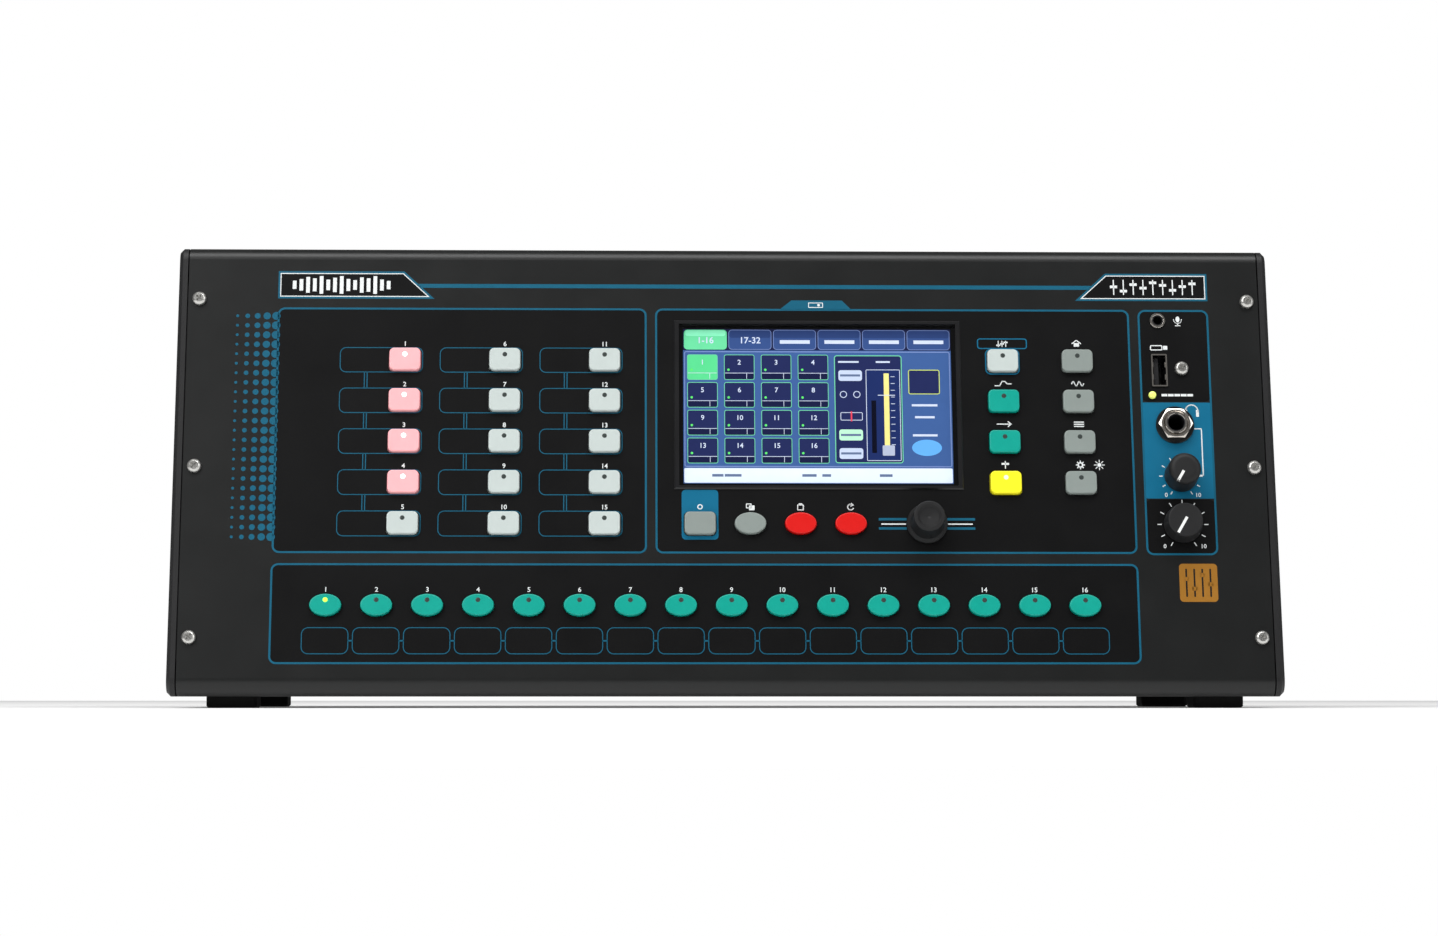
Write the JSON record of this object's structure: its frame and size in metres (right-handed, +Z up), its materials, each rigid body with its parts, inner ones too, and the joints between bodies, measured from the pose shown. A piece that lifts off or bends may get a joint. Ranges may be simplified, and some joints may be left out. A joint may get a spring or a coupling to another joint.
{
  "type": "digital mixing console",
  "caption": "Desktop digital audio mixing console: leaning metal front panel with touch screen, soft keys, select keys and knobs, and a rear wall of sockets.",
  "frame": {"origin": "middle of the console's box, on the surface its feet stand on", "axes": "+Z up, +X to the right as seen by the user, -Y towards the user"},
  "size_m": [0.44, 0.194, 0.1853],
  "materials": {
    "panel_paint": "fine powder coat, satin",
    "cover_paint": "fine powder coat, satin",
    "side_paint": "textured powder coat",
    "foot_rubber": "matte",
    "steel_fasteners": "bright zinc",
    "screen_glass": "polished",
    "bezel_black": "fine spark-eroded",
    "circuit_board": "solder mask",
    "supply_board": "solder mask",
    "socket_black": "satin",
    "key_pink": "translucent, satin",
    "key_white": "satin",
    "key_grey": "satin",
    "key_red": "satin",
    "key_teal": "satin",
    "key_yellow": "satin",
    "knob_black": "soft touch",
    "rocker_black": "satin"
  },
  "bodies": {
    "console": {"front_panel": "panel_paint", "chassis_tray": "cover_paint", "top_cover": "cover_paint", "left_side_plate": "side_paint", "right_side_plate": "side_paint", "rubber_feet": "foot_rubber", "fasteners": "steel_fasteners", "touch_screen": "screen_glass", "screen_bezel": "bezel_black", "control_board": "circuit_board", "main_board": "circuit_board", "power_supply": "supply_board", "sockets": "socket_black"},
    "encoder_knob": {"encoder_knob": "knob_black"},
    "phones_knob": {"phones_knob": "knob_black"},
    "alt_knob": {"alt_knob": "knob_black"},
    "power_rocker": {"power_rocker": "rocker_black"},
    "function_key": {"function_key": "key_grey"},
    "copy_key": {"copy_key": "key_grey"},
    "soft_key_01": {"soft_key_01": "key_pink"},
    "select_key_01": {"select_key_01": "key_teal"},
    "control_key_1": {"control_key_1": "key_white"},
    "paste_key": {"paste_key": "key_red"},
    "reset_key": {"reset_key": "key_red"},
    "soft_key_02": {"soft_key_02": "key_pink"},
    "soft_key_03": {"soft_key_03": "key_pink"},
    "soft_key_04": {"soft_key_04": "key_pink"},
    "soft_key_05": {"soft_key_05": "key_white"},
    "soft_key_06": {"soft_key_06": "key_white"},
    "soft_key_07": {"soft_key_07": "key_white"},
    "soft_key_08": {"soft_key_08": "key_white"},
    "soft_key_09": {"soft_key_09": "key_white"},
    "soft_key_10": {"soft_key_10": "key_white"},
    "soft_key_11": {"soft_key_11": "key_white"},
    "soft_key_12": {"soft_key_12": "key_white"},
    "soft_key_13": {"soft_key_13": "key_white"},
    "soft_key_14": {"soft_key_14": "key_white"},
    "soft_key_15": {"soft_key_15": "key_white"},
    "select_key_02": {"select_key_02": "key_teal"},
    "select_key_03": {"select_key_03": "key_teal"},
    "select_key_04": {"select_key_04": "key_teal"},
    "select_key_05": {"select_key_05": "key_teal"},
    "select_key_06": {"select_key_06": "key_teal"},
    "select_key_07": {"select_key_07": "key_teal"},
    "select_key_08": {"select_key_08": "key_teal"},
    "select_key_09": {"select_key_09": "key_teal"},
    "select_key_10": {"select_key_10": "key_teal"},
    "select_key_11": {"select_key_11": "key_teal"},
    "select_key_12": {"select_key_12": "key_teal"},
    "select_key_13": {"select_key_13": "key_teal"},
    "select_key_14": {"select_key_14": "key_teal"},
    "select_key_15": {"select_key_15": "key_teal"},
    "select_key_16": {"select_key_16": "key_teal"},
    "control_key_2": {"control_key_2": "key_teal"},
    "control_key_3": {"control_key_3": "key_teal"},
    "control_key_4": {"control_key_4": "key_yellow"},
    "control_key_5": {"control_key_5": "key_grey"},
    "control_key_6": {"control_key_6": "key_grey"},
    "control_key_7": {"control_key_7": "key_grey"},
    "control_key_8": {"control_key_8": "key_grey"}
  },
  "joints": [
    {"name": "encoder_turn", "type": "hinge", "parent": "console", "child": "encoder_knob", "pos_m": [0.0797, -0.08302, 0.07297], "axis": [0, 0.9753, -0.2207], "continuous": true},
    {"name": "phones_turn", "type": "hinge", "parent": "console", "child": "phones_knob", "pos_m": [0.1819, -0.0786, 0.09248], "axis": [0, 0.9753, -0.2207], "range_deg": [0, 300]},
    {"name": "alt_turn", "type": "hinge", "parent": "console", "child": "alt_knob", "pos_m": [0.1819, -0.08302, 0.07297], "axis": [0, 0.9753, -0.2207], "range_deg": [0, 300]},
    {"name": "power_rocker_tilt", "type": "hinge", "parent": "console", "child": "power_rocker", "pos_m": [-0.1345, 0.0905, 0.0385], "axis": [-1, 0, 0], "range_deg": [0, 16]},
    {"name": "function_press", "type": "slide", "parent": "console", "child": "function_key", "axis": [0, 0.9753, -0.2207], "range_m": [0, 0.001], "stiffness_N_per_m": 1000},
    {"name": "copy_press", "type": "slide", "parent": "console", "child": "copy_key", "axis": [0, 0.9753, -0.2207], "range_m": [0, 0.001], "stiffness_N_per_m": 1000},
    {"name": "soft_01_press", "type": "slide", "parent": "console", "child": "soft_key_01", "axis": [0, 0.9753, -0.2207], "range_m": [0, 0.001], "stiffness_N_per_m": 1000},
    {"name": "select_01_press", "type": "slide", "parent": "console", "child": "select_key_01", "axis": [0, 0.9753, -0.2207], "range_m": [0, 0.001], "stiffness_N_per_m": 1000},
    {"name": "control_1_press", "type": "slide", "parent": "console", "child": "control_key_1", "axis": [0, 0.9753, -0.2207], "range_m": [0, 0.001], "stiffness_N_per_m": 1000},
    {"name": "paste_press", "type": "slide", "parent": "console", "child": "paste_key", "axis": [0, 0.9753, -0.2207], "range_m": [0, 0.001], "stiffness_N_per_m": 1000},
    {"name": "reset_press", "type": "slide", "parent": "console", "child": "reset_key", "axis": [0, 0.9753, -0.2207], "range_m": [0, 0.001], "stiffness_N_per_m": 1000},
    {"name": "soft_02_press", "type": "slide", "parent": "console", "child": "soft_key_02", "axis": [0, 0.9753, -0.2207], "range_m": [0, 0.001], "stiffness_N_per_m": 1000},
    {"name": "soft_03_press", "type": "slide", "parent": "console", "child": "soft_key_03", "axis": [0, 0.9753, -0.2207], "range_m": [0, 0.001], "stiffness_N_per_m": 1000},
    {"name": "soft_04_press", "type": "slide", "parent": "console", "child": "soft_key_04", "axis": [0, 0.9753, -0.2207], "range_m": [0, 0.001], "stiffness_N_per_m": 1000},
    {"name": "soft_05_press", "type": "slide", "parent": "console", "child": "soft_key_05", "axis": [0, 0.9753, -0.2207], "range_m": [0, 0.001], "stiffness_N_per_m": 1000},
    {"name": "soft_06_press", "type": "slide", "parent": "console", "child": "soft_key_06", "axis": [0, 0.9753, -0.2207], "range_m": [0, 0.001], "stiffness_N_per_m": 1000},
    {"name": "soft_07_press", "type": "slide", "parent": "console", "child": "soft_key_07", "axis": [0, 0.9753, -0.2207], "range_m": [0, 0.001], "stiffness_N_per_m": 1000},
    {"name": "soft_08_press", "type": "slide", "parent": "console", "child": "soft_key_08", "axis": [0, 0.9753, -0.2207], "range_m": [0, 0.001], "stiffness_N_per_m": 1000},
    {"name": "soft_09_press", "type": "slide", "parent": "console", "child": "soft_key_09", "axis": [0, 0.9753, -0.2207], "range_m": [0, 0.001], "stiffness_N_per_m": 1000},
    {"name": "soft_10_press", "type": "slide", "parent": "console", "child": "soft_key_10", "axis": [0, 0.9753, -0.2207], "range_m": [0, 0.001], "stiffness_N_per_m": 1000},
    {"name": "soft_11_press", "type": "slide", "parent": "console", "child": "soft_key_11", "axis": [0, 0.9753, -0.2207], "range_m": [0, 0.001], "stiffness_N_per_m": 1000},
    {"name": "soft_12_press", "type": "slide", "parent": "console", "child": "soft_key_12", "axis": [0, 0.9753, -0.2207], "range_m": [0, 0.001], "stiffness_N_per_m": 1000},
    {"name": "soft_13_press", "type": "slide", "parent": "console", "child": "soft_key_13", "axis": [0, 0.9753, -0.2207], "range_m": [0, 0.001], "stiffness_N_per_m": 1000},
    {"name": "soft_14_press", "type": "slide", "parent": "console", "child": "soft_key_14", "axis": [0, 0.9753, -0.2207], "range_m": [0, 0.001], "stiffness_N_per_m": 1000},
    {"name": "soft_15_press", "type": "slide", "parent": "console", "child": "soft_key_15", "axis": [0, 0.9753, -0.2207], "range_m": [0, 0.001], "stiffness_N_per_m": 1000},
    {"name": "select_02_press", "type": "slide", "parent": "console", "child": "select_key_02", "axis": [0, 0.9753, -0.2207], "range_m": [0, 0.001], "stiffness_N_per_m": 1000},
    {"name": "select_03_press", "type": "slide", "parent": "console", "child": "select_key_03", "axis": [0, 0.9753, -0.2207], "range_m": [0, 0.001], "stiffness_N_per_m": 1000},
    {"name": "select_04_press", "type": "slide", "parent": "console", "child": "select_key_04", "axis": [0, 0.9753, -0.2207], "range_m": [0, 0.001], "stiffness_N_per_m": 1000},
    {"name": "select_05_press", "type": "slide", "parent": "console", "child": "select_key_05", "axis": [0, 0.9753, -0.2207], "range_m": [0, 0.001], "stiffness_N_per_m": 1000},
    {"name": "select_06_press", "type": "slide", "parent": "console", "child": "select_key_06", "axis": [0, 0.9753, -0.2207], "range_m": [0, 0.001], "stiffness_N_per_m": 1000},
    {"name": "select_07_press", "type": "slide", "parent": "console", "child": "select_key_07", "axis": [0, 0.9753, -0.2207], "range_m": [0, 0.001], "stiffness_N_per_m": 1000},
    {"name": "select_08_press", "type": "slide", "parent": "console", "child": "select_key_08", "axis": [0, 0.9753, -0.2207], "range_m": [0, 0.001], "stiffness_N_per_m": 1000},
    {"name": "select_09_press", "type": "slide", "parent": "console", "child": "select_key_09", "axis": [0, 0.9753, -0.2207], "range_m": [0, 0.001], "stiffness_N_per_m": 1000},
    {"name": "select_10_press", "type": "slide", "parent": "console", "child": "select_key_10", "axis": [0, 0.9753, -0.2207], "range_m": [0, 0.001], "stiffness_N_per_m": 1000},
    {"name": "select_11_press", "type": "slide", "parent": "console", "child": "select_key_11", "axis": [0, 0.9753, -0.2207], "range_m": [0, 0.001], "stiffness_N_per_m": 1000},
    {"name": "select_12_press", "type": "slide", "parent": "console", "child": "select_key_12", "axis": [0, 0.9753, -0.2207], "range_m": [0, 0.001], "stiffness_N_per_m": 1000},
    {"name": "select_13_press", "type": "slide", "parent": "console", "child": "select_key_13", "axis": [0, 0.9753, -0.2207], "range_m": [0, 0.001], "stiffness_N_per_m": 1000},
    {"name": "select_14_press", "type": "slide", "parent": "console", "child": "select_key_14", "axis": [0, 0.9753, -0.2207], "range_m": [0, 0.001], "stiffness_N_per_m": 1000},
    {"name": "select_15_press", "type": "slide", "parent": "console", "child": "select_key_15", "axis": [0, 0.9753, -0.2207], "range_m": [0, 0.001], "stiffness_N_per_m": 1000},
    {"name": "select_16_press", "type": "slide", "parent": "console", "child": "select_key_16", "axis": [0, 0.9753, -0.2207], "range_m": [0, 0.001], "stiffness_N_per_m": 1000},
    {"name": "control_2_press", "type": "slide", "parent": "console", "child": "control_key_2", "axis": [0, 0.9753, -0.2207], "range_m": [0, 0.001], "stiffness_N_per_m": 1000},
    {"name": "control_3_press", "type": "slide", "parent": "console", "child": "control_key_3", "axis": [0, 0.9753, -0.2207], "range_m": [0, 0.001], "stiffness_N_per_m": 1000},
    {"name": "control_4_press", "type": "slide", "parent": "console", "child": "control_key_4", "axis": [0, 0.9753, -0.2207], "range_m": [0, 0.001], "stiffness_N_per_m": 1000},
    {"name": "control_5_press", "type": "slide", "parent": "console", "child": "control_key_5", "axis": [0, 0.9753, -0.2207], "range_m": [0, 0.001], "stiffness_N_per_m": 1000},
    {"name": "control_6_press", "type": "slide", "parent": "console", "child": "control_key_6", "axis": [0, 0.9753, -0.2207], "range_m": [0, 0.001], "stiffness_N_per_m": 1000},
    {"name": "control_7_press", "type": "slide", "parent": "console", "child": "control_key_7", "axis": [0, 0.9753, -0.2207], "range_m": [0, 0.001], "stiffness_N_per_m": 1000},
    {"name": "control_8_press", "type": "slide", "parent": "console", "child": "control_key_8", "axis": [0, 0.9753, -0.2207], "range_m": [0, 0.001], "stiffness_N_per_m": 1000}
  ]
}
